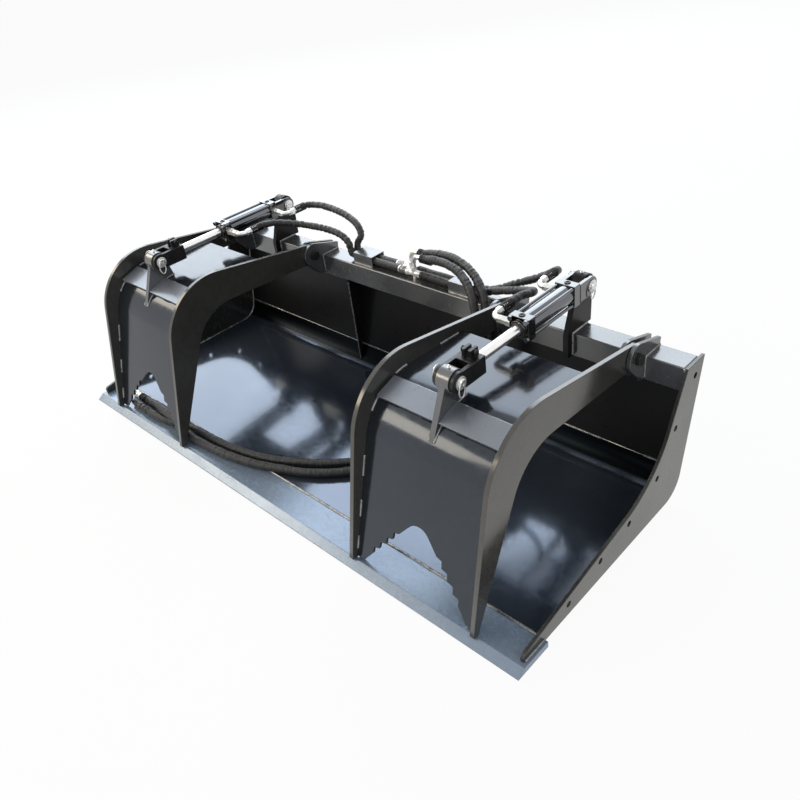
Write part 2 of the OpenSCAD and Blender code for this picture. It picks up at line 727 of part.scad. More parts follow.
supply_front_route = [
  [swan_end[1], tee_y[1], swan_z], [78, tee_y[1], swan_z], [112, 799, tube_top + 88],
  [175, 793, tube_top + 92], [234, 781, tube_top + 83], [287, 758, tube_top + 63],
  [323, 736, tube_top + 33], [343, 721, 434], [361, 708, 388], [376, 700, 330], [385, 690, 268],
  [389, 671, 206], [383, 639, 148], [367, 590, 92], [341, 523, 50], [304, 451, 34.5], [260, 382, 34.5],
  [209, 321, 34.5], [165, 266, 34.5], [108, 214, 34.5], [40, 170, 34.5], [-39, 137, 34.5],
  [-115, 108, 34.5], [-195, 87, 34.5], [-280, 73, 34.5], [-350, 67, 34.5], [-420, 63, 36],
  [-480, 66, 48], [-540, 70, 64], [-600, 76, 68], [-655, 84, 60], [-710, 92, 46], [-765, 96, 34.5],
  [-828, 96, 34.5]];

// Short hoses between the guards and the tees
module straight_hoses() {
  color(rubber) for (i = [0, 1]) {
    translate([guard_left + hose_lap, tee_y[i], hose_z]) rotate([0, 90, 0])
      cylinder(h = tee_x[i] - tee_l/2 - 12 - guard_left - hose_lap, r = hose_d/2);
    translate([tee_x[i] + tee_l/2 + 12, tee_y[i], hose_z]) rotate([0, 90, 0])
      cylinder(h = guard_end - hose_lap - tee_x[i] - tee_l/2 - 12, r = hose_d/2);
  }
}

// Quick couplers on the ends of the supply hoses
module quick_coupler(p, r, l, cap) {
  translate(p) rotate([0, -90, 0]) {
    cylinder(h = 18, r = r - 2, $fn = 6);
    translate([0, 0, 18]) cylinder(h = l - 18, r = r);
    if (cap) translate([0, 0, l]) cylinder(h = 14, r = r - 2);
  }
}
module silver_coupler() {
  color(zinc) quick_coupler(supply_front_route[len(supply_front_route) - 1], 14, 58, false);
}
module capped_coupler() {
  color(black) quick_coupler(supply_rear_route[len(supply_rear_route) - 1], 14, 66, true);
}

// Quick attach plate on the rear of the back, drawn along the lean of the back
module leaned() {
  translate([0, back_foot_y, 0]) rotate([-back_lean, 0, 0]) children();
}
module attach_plate() {
  color(paint_dark) leaned()
    translate([-attach_w/2, attach_gap, attach_foot]) cube([attach_w, attach_t - attach_gap, attach_h]);
}
module attach_hook() {
  color(paint_dark) leaned() across(-attach_w/2, attach_w/2)
    polygon([[attach_t, attach_top], [attach_t + hook_d, attach_top - hook_d],
             [attach_t + hook_d - hook_t*0.7071, attach_top - hook_d - hook_t*0.7071],
             [attach_t, attach_top - hook_t*1.4142]]);
}
module attach_foot_flange() {
  color(paint_dark) leaned() difference() {
    translate([-attach_w/2, attach_t, attach_foot]) cube([attach_w, foot_d, hook_t]);
    for (x = [-slot_gap/2, slot_gap/2]) {
      for (s = [-1, 1]) translate([x + s*(slot_l - slot_w)/2, attach_t + foot_d/2, attach_foot - 1])
        cylinder(h = hook_t + 2, r = slot_w/2);
      translate([x - (slot_l - slot_w)/2, attach_t + foot_d/2 - slot_w/2, attach_foot - 1])
        cube([slot_l - slot_w, slot_w, hook_t + 2]);
    }
  }
}
// Ribs that fill the space between the bend of the floor and the foot of the plate
rib_x = [-540, -180, 180, 540];
rib_t = 10;
module attach_ribs() {
  low = [edge_d, floor_low];
  color(paint_dark) for (x = rib_x) across(x - rib_t/2, x + rib_t/2) difference() {
    polygon([[bend_corner[0] - 50, floor_low], [back_y(floor_low) + 3, floor_low],
             [back_y(attach_foot + 0.5), attach_foot + 0.5], [back_y(seam_z), seam_z],
             [back_y(seam_z) - 30, seam_z - 40]]);
    polygon(outline([[low[0], low[1], 0], [bend_corner[0], bend_corner[1], bend_r],
                     [back_y(seam_z + 1), seam_z + 1, 0], [low[0], seam_z + 1, 0]]));
  }
}

lx = -grapple_x;
rx = grapple_x;
cx = lx - left_shift;
translate([0, origin_y, 0]) {
  cutting_edge();
  floor_sheet();
  back_sheet();
  side_plate(-1);  // side_plate_left
  side_plate(1);  // side_plate_right
  top_tube();
  tube_gussets();
  wear_bars();
  mast(cx);  // mast_left
  mast(rx);  // mast_right
  ears(lx);  // ears_left
  ears(rx);  // ears_right
  pivot_pins(lx);  // pivot_pins_left
  pivot_pins(rx);  // pivot_pins_right
  hose_guards();
  tee_blocks();
  swan_tubes();
  straight_hoses();
  hose(left_base_route, hose_d, 12);  // left_base_hose
  hose(left_rod_route, hose_d, 12);  // left_rod_hose
  hose(right_base_route, hose_d, 12);  // right_base_hose
  hose(right_rod_route, hose_d, 12);  // right_rod_hose
  hose(supply_rear_route, supply_d, 12);  // supply_hose_rear
  hose(supply_front_route, supply_d, 12);  // supply_hose_front
  silver_coupler();
  capped_coupler();
  attach_plate();
  attach_hook();
  attach_foot_flange();
  attach_ribs();
  claw(lx - claw_out);  // left_claw_outer
  claw(lx + claw_in);  // left_claw_inner
  skin(lx);  // left_skin
  shoulder_bar(lx, cx);  // left_shoulder_bar
  lug(cx);  // left_lug
  claw(rx + claw_in);  // right_claw_outer
  claw(rx - claw_out);  // right_claw_inner
  skin(rx);  // right_skin
  shoulder_bar(rx, rx);  // right_shoulder_bar
  lug(rx);  // right_lug
  barrel(cx);  // left_barrel
  front_head(cx);  // left_front_head
  base_cap(cx);  // left_base_cap
  tie_rods(cx);  // left_tie_rods
  ports(cx);  // left_ports
  cyl_pin(cx, mast_pin);  // left_mast_pin
  barrel(rx);  // right_barrel
  front_head(rx);  // right_front_head
  base_cap(rx);  // right_base_cap
  tie_rods(rx);  // right_tie_rods
  ports(rx);  // right_ports
  cyl_pin(rx, mast_pin);  // right_mast_pin
  rod(cx);  // left_rod
  clevis(cx);  // left_clevis
  clamp_bolt(cx);  // left_clamp_bolt
  cyl_pin(cx, rod_pin);  // left_rod_pin
  rod(rx);  // right_rod
  clevis(rx);  // right_clevis
  clamp_bolt(rx);  // right_clamp_bolt
  cyl_pin(rx, rod_pin);  // right_rod_pin
}
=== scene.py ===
# Looks of the grapple bucket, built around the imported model.
# Lengths in the tables below are in millimetres; y = 0 is the cutting edge, as in the part's source.
import math

import bpy
from mathutils import Matrix, Vector, noise


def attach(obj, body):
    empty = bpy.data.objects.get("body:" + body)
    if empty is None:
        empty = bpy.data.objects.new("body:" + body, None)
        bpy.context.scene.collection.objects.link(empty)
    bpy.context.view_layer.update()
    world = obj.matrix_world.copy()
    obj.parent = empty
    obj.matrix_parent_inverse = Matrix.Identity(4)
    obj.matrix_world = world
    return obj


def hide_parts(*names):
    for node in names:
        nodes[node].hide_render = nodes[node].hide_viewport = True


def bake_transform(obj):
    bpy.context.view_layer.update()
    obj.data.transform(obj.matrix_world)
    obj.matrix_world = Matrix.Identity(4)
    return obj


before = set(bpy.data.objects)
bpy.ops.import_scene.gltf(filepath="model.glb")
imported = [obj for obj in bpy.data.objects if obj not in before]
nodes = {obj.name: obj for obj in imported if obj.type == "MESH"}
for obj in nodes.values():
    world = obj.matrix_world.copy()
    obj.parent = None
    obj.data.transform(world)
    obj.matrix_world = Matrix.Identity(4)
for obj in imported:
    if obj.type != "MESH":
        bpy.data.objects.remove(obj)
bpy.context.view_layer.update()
scene = bpy.context.scene
scene.view_settings.view_transform = "Standard"

# Where the cutting edge's front lies in the row frame
ORIGIN_Y = -446.8686


def at(x, y, z):
    """A point of the tables, in metres in the row frame."""
    return Vector((x, y + ORIGIN_Y, z)) / 1000


# Camera, fitted to the photograph
camera_data = bpy.data.cameras.new("camera")
camera_data.sensor_width = 36
camera_data.lens = 34.623
camera = bpy.data.objects.new("camera", camera_data)
scene.collection.objects.link(camera)
right = Vector((0.722025, 0.681518, -0.119216))
up = Vector((-0.324108, 0.485411, 0.811991))
forward = Vector((-0.611256, 0.547639, -0.571365))
camera.matrix_world = Matrix((
    (right.x, up.x, -forward.x, 1.7030),
    (right.y, up.y, -forward.y, -1.302469),
    (right.z, up.z, -forward.z, 1.5964),
    (0, 0, 0, 1)))
scene.camera = camera

# Sizes repeated from the part's source: bucket
EDGE_D = 122
EDGE_T = 20
SIDE_INNER = 995
SIDE_OUTER = 1005
BEND_INNER_R = 70
BACK_LEAN = 10.8
BACK_FOOT_Y = 778
TUBE_FRONT = 769
TUBE_REAR = 845
TUBE_TOP = 441
GUSSET_X = 292
WEAR_X = (-760, 0, 760)
WEAR_W = 75
ATTACH_HALF = 565
ATTACH_H = 403
ATTACH_T = 10

# Grapples: the claws' middle and inner faces, the ears beside a claw, half of the mast and of the lug's post
GRAPPLE_X = 650
CLAW_MID = 216
CLAW_INNER = 209
EAR_NEAR = 8
EAR_FAR = 20
POST_HALF = 9
SKIN_REAR = (548, 495)
SKIN_SHOULDER = (178, 514)
SKIN_TIP = (33, 26)
SKIN_R = 178
BAR_SLOPE = 17.4

# Cylinders and hoses: LIE_Z is the middle of a supply hose that lies on the floor
CYL_Z = 574
CYL_LEFT = -676
CYL_RIGHT = 650
ROD_PIN_Y = 256
MAST_PIN_Y = 825
PORT_LEFT = -574
PORT_RIGHT = 548
ROD_HOSE_Y = 614
BASE_HOSE_Y = 822
HOSE_D = 26
HOSE_REAR = 828.2
HOSE_FRONT = 801.8
HOSE_Z = 460
GUARDS = (-262, 181)
GUARD_L = 94
SWAN_Z = 522
SUPPLY_D = 28
LIE_Z = 34.5

# Routes of the hoses, through the points of the part's source
LEFT_BASE = [
    (PORT_LEFT, BASE_HOSE_Y, CYL_Z), (PORT_LEFT, 848, CYL_Z), (-556, 873, 572), (-505, 880, 574),
    (-440, 880, 571), (-370, 873, 564), (-308, 862, 547), (-278, 850, 517), (-288, 837, 488),
    (-280, HOSE_REAR, HOSE_Z), (-240, HOSE_REAR, HOSE_Z)]
LEFT_ROD = [
    (PORT_LEFT, ROD_HOSE_Y, CYL_Z), (PORT_LEFT, 645, CYL_Z), (-558, 708, 562), (-487, 764, 547),
    (-402, 795, 535), (-336, 803, 523), (-299, 802, 503), (-292, 802, 478), (-280, HOSE_FRONT, HOSE_Z),
    (-240, HOSE_FRONT, HOSE_Z)]
RIGHT_BASE = [
    (PORT_RIGHT, BASE_HOSE_Y, CYL_Z), (PORT_RIGHT, 850, CYL_Z), (531, 876, 560), (470, 872, 524),
    (400, 854, 494), (340, 836, 468), (300, HOSE_REAR, HOSE_Z), (253, HOSE_REAR, HOSE_Z)]
RIGHT_ROD = [
    (PORT_RIGHT, ROD_HOSE_Y, CYL_Z), (PORT_RIGHT, 672, CYL_Z), (549, 736, 560), (506, 772, 535),
    (430, 786, 510), (358, 796, 484), (318, HOSE_FRONT, 466), (292, HOSE_FRONT, HOSE_Z),
    (253, HOSE_FRONT, HOSE_Z)]
SUPPLY_REAR = [
    (26, HOSE_REAR, SWAN_Z), (42, HOSE_REAR, SWAN_Z), (74, 833, 529), (140, 832, 538), (210, 822, 534),
    (272, 802, 522), (324, 776, 497), (357, 753, 455), (369, 741, 394), (375, 733, 325), (378, 722, 260),
    (372, 700, 195), (358, 660, 135), (338, 606, 82), (311, 540, 48), (274, 470, LIE_Z), (230, 402, LIE_Z),
    (180, 345, LIE_Z), (133, 297, LIE_Z), (75, 248, LIE_Z), (8, 204, LIE_Z), (-60, 168, LIE_Z),
    (-135, 139, LIE_Z), (-215, 119, LIE_Z), (-300, 107, LIE_Z), (-380, 101, LIE_Z), (-455, 97, LIE_Z),
    (-530, 84, LIE_Z), (-610, 66, LIE_Z), (-680, 60, LIE_Z), (-745, 60, LIE_Z)]
SUPPLY_FRONT = [
    (60, HOSE_FRONT, SWAN_Z), (78, HOSE_FRONT, SWAN_Z), (112, 799, 529), (175, 793, 533), (234, 781, 524),
    (287, 758, 504), (323, 736, 474), (343, 721, 434), (361, 708, 388), (376, 700, 330), (385, 690, 268),
    (389, 671, 206), (383, 639, 148), (367, 590, 92), (341, 523, 50), (304, 451, LIE_Z), (260, 382, LIE_Z),
    (209, 321, LIE_Z), (165, 266, LIE_Z), (108, 214, LIE_Z), (40, 170, LIE_Z), (-39, 137, LIE_Z),
    (-115, 108, LIE_Z), (-195, 87, LIE_Z), (-280, 73, LIE_Z), (-350, 67, LIE_Z), (-420, 63, 36),
    (-480, 66, 48), (-540, 70, 64), (-600, 76, 68), (-655, 84, 60), (-710, 92, 46), (-765, 96, LIE_Z),
    (-828, 96, LIE_Z)]


# Materials by name
MATS = {}


class Shader:
    """A Principled material and short calls for its nodes."""

    def __init__(self, name):
        self.name = name
        self.material = bpy.data.materials.new(name)
        self.material.use_nodes = True
        self.tree = self.material.node_tree
        self.out = self.tree.nodes["Principled BSDF"]

    def node(self, kind, **values):
        made = self.tree.nodes.new(kind)
        for key, value in values.items():
            setattr(made, key, value)
        return made

    def link(self, source, target):
        self.tree.links.new(source, target)

    def set(self, **values):
        for key, value in values.items():
            self.out.inputs[key.replace("_", " ")].default_value = value

    def coords(self, kind="Object", stretch=(1, 1, 1)):
        place = self.node("ShaderNodeTexCoord").outputs[kind]
        mapping = self.node("ShaderNodeMapping")
        mapping.inputs["Scale"].default_value = stretch
        self.link(place, mapping.inputs["Vector"])
        return mapping.outputs["Vector"]

    def noise(self, scale, detail, rough, place=None, distortion=0):
        made = self.node("ShaderNodeTexNoise")
        made.inputs["Scale"].default_value = scale
        made.inputs["Detail"].default_value = detail
        made.inputs["Roughness"].default_value = rough
        made.inputs["Distortion"].default_value = distortion
        self.link(place if place is not None else self.coords(), made.inputs["Vector"])
        return made.outputs["Fac"]

    def ramp(self, source, stops):
        made = self.node("ShaderNodeValToRGB")
        ramp = made.color_ramp
        while len(ramp.elements) < len(stops):
            ramp.elements.new(0.5)
        for element, (position, colour) in zip(ramp.elements, stops):
            element.position = position
            element.color = (*colour, 1)
        self.link(source, made.inputs["Fac"])
        return made.outputs["Color"]

    def range(self, source, low, high, start=0.3, end=0.7):
        made = self.node("ShaderNodeMapRange")
        for key, value in (("From Min", start), ("From Max", end), ("To Min", low), ("To Max", high)):
            made.inputs[key].default_value = value
        self.link(source, made.inputs["Value"])
        return made.outputs["Result"]

    def mix(self, factor, a, b):
        made = self.node("ShaderNodeMix", data_type="RGBA")
        for key, value in ((0, factor), (6, a), (7, b)):
            if isinstance(value, bpy.types.NodeSocket):
                self.link(value, made.inputs[key])
            elif key == 0:
                made.inputs[key].default_value = value
            else:
                made.inputs[key].default_value = (*value, 1)
        return made.outputs[2]

    def math(self, operation, a, b=0.0):
        made = self.node("ShaderNodeMath", operation=operation)
        for key, value in ((0, a), (1, b)):
            if isinstance(value, bpy.types.NodeSocket):
                self.link(value, made.inputs[key])
            else:
                made.inputs[key].default_value = value
        return made.outputs[0]

    def bump(self, height, strength, distance, after=None):
        made = self.node("ShaderNodeBump")
        made.inputs["Strength"].default_value = strength
        made.inputs["Distance"].default_value = distance
        self.link(height, made.inputs["Height"])
        if after is not None:
            self.link(after, made.inputs["Normal"])
        return made.outputs["Normal"]

    def finish(self, colour, roughness, normal):
        self.link(colour, self.out.inputs["Base Color"])
        self.link(roughness, self.out.inputs["Roughness"])
        self.link(normal, self.out.inputs["Normal"])
        MATS[self.name] = self.material


DUST = (0.62, 0.62, 0.6)
SCUFF = (0.5, 0.51, 0.52)
# Painted shade: the dark tone, and the roughness added, where a paint is darkened between two heights
PAINTED_SHADE_TONE = (0.006, 0.008, 0.010)
PAINTED_SHADE_ROUGHER = 0.18


def paint(name, light, dark, metallic, rough, cloud=1.6, wave=0.3, coat=0.3, dust=0.03, painted_shade=None,
          specular=0.5):
    """Gloss paint on sheet steel: cloudy tone, dust, fine scratches, orange peel and the sheet's waves.

    painted_shade holds two heights in metres. Between them the paint is darkened and made rougher as painted
    shade, turns metallic and loses its coat.
    """
    s = Shader(name)
    s.set(Metallic=metallic, Coat_Weight=coat, Coat_Roughness=0.06, Specular_IOR_Level=specular)
    place = s.coords()
    clouds = s.noise(cloud, 2, 0.45, place, 0.3)
    grain = s.noise(55, 4, 0.6, place)
    scuffs = s.noise(9, 6, 0.7, s.coords("Object", (1, 6, 1)), 0.8)
    tone = s.ramp(clouds, [(0.36, dark), (0.64, light)])
    tone = s.mix(s.range(grain, 0.0, dust), tone, DUST)
    tone = s.mix(s.range(scuffs, 0.0, dust * 1.5, 0.60, 0.78), tone, SCUFF)
    roughness = s.range(grain, rough - 0.03, rough + 0.04)
    roughness = s.math("ADD", roughness, s.range(scuffs, 0.0, 0.1, 0.55, 0.8))
    # Painted shade: between the two heights the tone is darkened and dulled, for the floor's bend up into
    # the back
    if painted_shade is not None:
        split = s.node("ShaderNodeSeparateXYZ")
        s.link(place, split.inputs[0])
        height = split.outputs["Z"]
        up = s.range(height, 0.0, 1.0, *painted_shade)
        tone = s.mix(up, tone, PAINTED_SHADE_TONE)
        roughness = s.math("ADD", roughness, s.math("MULTIPLY", up, PAINTED_SHADE_ROUGHER))
        s.link(s.range(height, coat, 0.0, *painted_shade), s.out.inputs["Coat Weight"])
        s.link(s.range(height, metallic, 1.0, *painted_shade), s.out.inputs["Metallic"])
    waves = s.noise(4.5, 1, 0.4, place)
    peel = s.noise(260, 2, 0.5, place)
    s.finish(tone, roughness, s.bump(peel, 0.02, 0.0006, s.bump(waves, wave, 0.012)))


def bare_metal(name, colour, stain, rough, metallic=1.0, grain_scale=160):
    """Stained metal with a fine grain."""
    s = Shader(name)
    s.set(Metallic=metallic)
    place = s.coords()
    blotch = s.noise(38, 4, 0.6, place, 0.4)
    grain = s.noise(grain_scale, 5, 0.65, place)
    tone = s.mix(s.range(blotch, 0.0, 1.0, 0.35, 0.75), colour, stain)
    s.finish(tone, s.range(grain, rough - 0.08, rough + 0.12), s.bump(grain, 0.18, 0.0005))


def sleeve(name, stripe=None):
    """Woven nylon sleeve: fine weave, dusty patches and, on one hose, a thin marker thread.

    stripe is the thread's place round the hose, as a share of the way round.
    """
    s = Shader(name)
    s.set(Sheen_Weight=0.12, Sheen_Roughness=0.4)
    strands = []
    for stretch in ((330, 17, 1), (-330, 17, 1)):
        made = s.node("ShaderNodeTexWave", wave_type="BANDS", bands_direction="DIAGONAL")
        made.inputs["Scale"].default_value = 1.0
        s.link(s.coords("UV", stretch), made.inputs["Vector"])
        strands.append(made.outputs["Fac"])
    weave = s.math("MULTIPLY", *strands)
    dust = s.noise(24, 5, 0.65, s.coords())
    tone = s.mix(s.range(weave, 0.0, 1.0, 0.1, 0.9), (0.006, 0.006, 0.007), (0.021, 0.021, 0.023))
    tone = s.mix(s.range(dust, 0.0, 0.14, 0.52, 0.75), tone, (0.16, 0.155, 0.15))
    if stripe is not None:
        place = s.node("ShaderNodeSeparateXYZ")
        s.link(s.coords("UV"), place.inputs[0])
        off = s.math("ABSOLUTE", s.math("SUBTRACT", place.outputs["Y"], stripe))
        tone = s.mix(s.range(off, 0.55, 0.0, 0.008, 0.016), tone, (0.20, 0.035, 0.03))
    folds = s.noise(1.0, 2, 0.5, s.coords("UV", (95, 3, 1)), 0.6)
    s.finish(tone, s.range(dust, 0.30, 0.52), s.bump(weave, 0.5, 0.0006, s.bump(folds, 0.8, 0.004)))


def rubber(name):
    s = Shader(name)
    dust = s.noise(30, 5, 0.6)
    grain = s.noise(600, 2, 0.5)
    tone = s.mix(s.range(dust, 0.0, 0.5), (0.012, 0.012, 0.013), (0.05, 0.05, 0.05))
    s.finish(tone, s.range(dust, 0.38, 0.55), s.bump(grain, 0.2, 0.0003))


# Paints: light tone, dark tone, metallic, roughness
paint("paint", (0.165, 0.168, 0.172), (0.125, 0.128, 0.132), 0.65, 0.22)
# Side plates and claws: dark paint with a warm brownish tint that is painted reflection of the ground
paint("side_paint_ground_reflection", (0.078, 0.077, 0.071), (0.050, 0.050, 0.047), 0.6, 0.24, cloud=3.2, coat=0.1)
paint("claw_paint_ground_reflection", (0.094, 0.090, 0.082), (0.062, 0.060, 0.056), 0.45, 0.17, coat=0.12)
# The shoulder bars' light blue tone is painted sky reflection, far lighter than the same paint on the other
# pieces
paint("bar_paint_sky_reflection", (0.250, 0.275, 0.320), (0.190, 0.210, 0.245), 0.45, 0.30, wave=0.15)
paint("skin_paint", (0.040, 0.049, 0.063), (0.028, 0.035, 0.047), 0.6, 0.13, wave=0.25, coat=0.15, dust=0.01)
# The floor's bend up into the back, between 21 and 34 mm high, is darkened as painted shade
paint("floor_paint", (0.086, 0.110, 0.150), (0.060, 0.078, 0.110), 0.62, 0.13, cloud=2.2, wave=0.12,
      dust=0.012, painted_shade=(0.021, 0.034))
# The cutting edge's light steel-blue tone is painted sky reflection, far lighter than the bucket's own dark
# grey-blue paint
paint("edge_paint", (0.262, 0.335, 0.440), (0.215, 0.280, 0.375), 0.25, 0.26, cloud=2.4, wave=0.1, coat=0.0,
      dust=0.004)
paint("back_paint", (0.014, 0.014, 0.015), (0.008, 0.008, 0.009), 0.3, 0.30, wave=0.2, coat=0.0, dust=0.004,
      specular=0.2)
paint("black_paint", (0.010, 0.010, 0.011), (0.005, 0.005, 0.006), 0.0, 0.12, cloud=3, wave=0.05, coat=0.7,
      dust=0.004, specular=0.9)
paint("barrel_paint", (0.150, 0.158, 0.172), (0.110, 0.117, 0.130), 1.0, 0.10, cloud=3, wave=0.05, coat=0.5,
      dust=0.004)
# The weld beads take a lighter copy of the paint: painted highlight where the beads catch the sky
paint("weld", (0.300, 0.300, 0.295), (0.170, 0.172, 0.175), 0.7, 0.26, cloud=40, wave=0.1)

# Bare metals: colour, stain, roughness, metallic
bare_metal("black_steel", (0.020, 0.020, 0.022), (0.040, 0.038, 0.036), 0.34, 0.6)
bare_metal("ferrule_steel", (0.022, 0.022, 0.024), (0.045, 0.044, 0.042), 0.26, 0.8)
bare_metal("zinc", (0.88, 0.88, 0.86), (0.68, 0.68, 0.65), 0.28, 0.75)
bare_metal("chrome", (0.98, 0.98, 0.97), (0.90, 0.89, 0.87), 0.17, 0.9, 260)
# A near-white strip material: painted light showing through the seam's gap
bare_metal("seam_gap_light", (0.95, 0.95, 0.93), (0.75, 0.75, 0.73), 0.42, 0.35)
rubber("rubber")
sleeve("sleeve")
sleeve("sleeve_marked", 0.62)


# Mesh helpers
def new_mesh(name, verts, faces, material, smooth=True, uvs=None):
    """An object of one material; uvs holds a point for each corner of each face."""
    mesh = bpy.data.meshes.new(name)
    mesh.from_pydata([tuple(v) for v in verts], [], faces)
    mesh.materials.append(MATS[material])
    mesh.polygons.foreach_set("use_smooth", [smooth] * len(mesh.polygons))
    if uvs is not None:
        layer = mesh.uv_layers.new(name="UVMap")
        for polygon in mesh.polygons:
            for loop in polygon.loop_indices:
                layer.data[loop].uv = uvs[polygon.index][loop - polygon.loop_start]
    mesh.validate()
    obj = bpy.data.objects.new(name, mesh)
    scene.collection.objects.link(obj)
    return obj


def smooth_path(points, step):
    """Points every step metres along a smooth curve through the given ones."""
    pts = [points[0] * 2 - points[1], *points, points[-1] * 2 - points[-2]]
    fine = []
    for a, b, c, d in zip(pts, pts[1:], pts[2:], pts[3:]):
        pieces = max(2, round((c - b).length / step * 3))
        for i in range(pieces):
            t = i / pieces
            fine.append(0.5 * ((2 * b) + (c - a) * t + (2 * a - 5 * b + 4 * c - d) * t * t
                               + (3 * b - a - 3 * c + d) * t ** 3))
    fine.append(points[-1].copy())
    length = sum((q - p).length for p, q in zip(fine, fine[1:]))
    count = max(2, round(length / step))
    out = [fine[0].copy()]
    gone = 0.0
    for p, q in zip(fine, fine[1:]):
        leg = (q - p).length
        while leg > 0 and gone + leg >= length * len(out) / count and len(out) < count:
            out.append(p.lerp(q, (length * len(out) / count - gone) / leg))
        gone += leg
    out.append(points[-1].copy())
    return out, length


def frames(path):
    """A tangent and two normals for each point, turned as little as possible."""
    out = []
    side = None
    for i, point in enumerate(path):
        tangent = (path[min(i + 1, len(path) - 1)] - path[max(i - 1, 0)]).normalized()
        if side is None:
            side = tangent.orthogonal().normalized()
        side = (side - tangent * side.dot(tangent)).normalized()
        out.append((tangent, side, tangent.cross(side)))
    return out


def sweep(path, radius, sides, verts, faces, uvs=None):
    """A round tube along a path; radius is a function of the distance along it and the angle."""
    first = len(verts)
    run = 0.0
    runs = []
    for i, (point, (tangent, u, v)) in enumerate(zip(path, frames(path))):
        if i:
            run += (point - path[i - 1]).length
        runs.append(run)
        for j in range(sides):
            angle = 2 * math.pi * j / sides
            verts.append(point + (u * math.cos(angle) + v * math.sin(angle)) * radius(run, angle))
    for i in range(len(path) - 1):
        for j in range(sides):
            a = first + i * sides + j
            b = first + i * sides + (j + 1) % sides
            faces.append((a, b, b + sides, a + sides))
            if uvs is not None:
                v0, v1 = j / sides, (j + 1) / sides
                uvs.append(((runs[i], v0), (runs[i], v1), (runs[i + 1], v1), (runs[i + 1], v0)))
    faces.append(tuple(first + j for j in reversed(range(sides))))
    faces.append(tuple(first + (len(path) - 1) * sides + j for j in range(sides)))
    if uvs is not None:
        uvs.append(((0, 0),) * sides)
        uvs.append(((run, 0),) * sides)


def wrinkled(radius, seed, depth, pitch=150, sink=0.0, crest=0.01):
    """The sleeve bunches up in uneven rings, which lean round the hose.

    depth is the rings' height in metres, pitch their number to the metre, sink how far they are let in, as a
    share of depth, and crest the most that they stand out.
    """
    def at_point(run, angle):
        lean = 0.0022 * math.sin(angle + seed)
        s = run + lean
        ring = noise.noise(Vector((s * pitch, seed, 0.35 * math.cos(angle))))
        fold = noise.noise(Vector((s * 310, seed + 7, 0.8 * math.sin(angle))))
        swell = noise.noise(Vector((s * 18, seed + 3, 0)))
        return radius + min(depth * (1.2 * ring + 0.5 * fold + 0.3 * swell - sink), crest)
    return at_point


HOSE_STEP = 0.0026
HOSE_SIDES = 20
HOSE_INSET = 0.0002


def hose(name, points, diameter, material, seed, **rings):
    """A sleeved hose along a route, with its path and its length; rings holds what wrinkled takes."""
    path, length = smooth_path([at(*p) for p in points], HOSE_STEP)
    verts, faces, uvs = [], [], []
    sweep(path, wrinkled(diameter / 2000 - HOSE_INSET, seed, **rings), HOSE_SIDES, verts, faces, uvs)
    return new_mesh(name, verts, faces, material, uvs=uvs), path, length


def turned(verts, faces, profile, origin, axis, sides):
    """Adds a turned form: profile holds (distance along the axis, radius) in millimetres."""
    first = len(verts)
    axis = Vector(axis).normalized()
    u = axis.orthogonal().normalized()
    v = axis.cross(u)
    for along, radius in profile:
        for j in range(sides):
            angle = 2 * math.pi * j / sides
            outward = u * math.cos(angle) + v * math.sin(angle)
            verts.append(origin + axis * along / 1000 + outward * radius / 1000)
    for i in range(len(profile) - 1):
        for j in range(sides):
            a = first + i * sides + j
            b = first + i * sides + (j + 1) % sides
            faces.append((a, b, b + sides, a + sides))
    faces.append(tuple(first + j for j in reversed(range(sides))))
    faces.append(tuple(first + (len(profile) - 1) * sides + j for j in range(sides)))


def lathe(name, profile, origin, axis, material, sides):
    verts, faces = [], []
    turned(verts, faces, profile, origin, axis, sides)
    return new_mesh(name, verts, faces, material)


def by_angle(obj, degrees):
    """Edges sharper than this stay sharp on a turned piece."""
    mesh = obj.data
    mesh.polygons.foreach_set("use_smooth", [True] * len(mesh.polygons))
    mesh.set_sharp_from_angle(angle=math.radians(degrees))
    return obj


def softened(obj, width):
    """Rounds the cut edges of a carried-over node by a width in millimetres."""
    mesh = obj.data
    if "custom_normal" in mesh.attributes:
        mesh.attributes.remove(mesh.attributes["custom_normal"])
    mesh.polygons.foreach_set("use_smooth", [True] * len(mesh.polygons))
    weld = obj.modifiers.new("weld", "WELD")
    weld.merge_threshold = 0.00002
    flat = obj.modifiers.new("flat", "DECIMATE")
    flat.decimate_type = "DISSOLVE"
    flat.angle_limit = math.radians(0.4)
    bevel = obj.modifiers.new("bevel", "BEVEL")
    bevel.width = width / 1000
    bevel.segments = 2
    bevel.limit_method = "ANGLE"
    bevel.angle_limit = math.radians(32)
    bevel.use_clamp_overlap = False
    bevel.harden_normals = True
    bevel.miter_outer = "MITER_ARC"


# Crimped hose ends
def ribbed(length, radius):
    """Profile of a crimped hose end."""
    profile = [(0, radius - 3), (0, radius - 0.8), (1.2, radius)]
    rings = max(3, int((length - 10) / 6))
    pitch = (length - 10) / rings
    for i in range(rings):
        start = 5 + i * (length - 10) / rings
        profile += [(start, radius), (start + pitch * 0.2, radius - 1.9),
                    (start + pitch * 0.65, radius - 1.9), (start + pitch * 0.95, radius)]
    return profile + [(length - 1.4, radius), (length, radius - 0.9), (length, radius - 3)]


# Length and radius of the ferrules at the swan tubes, the couplers, the cylinders and the tees
SWAN_FERRULE = (46, 15.4)
TAIL_FERRULE = (42, 14.8)
PORT_FERRULE = (50, 14.4)
TEE_FERRULE = (40, 13.1)
FERRULE_SIDES = 28


def ferrule(name, start, axis, size, body, material="ferrule_steel"):
    obj = by_angle(lathe(name, ribbed(*size), at(*start), axis, material, FERRULE_SIDES), 40)
    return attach(obj, body)


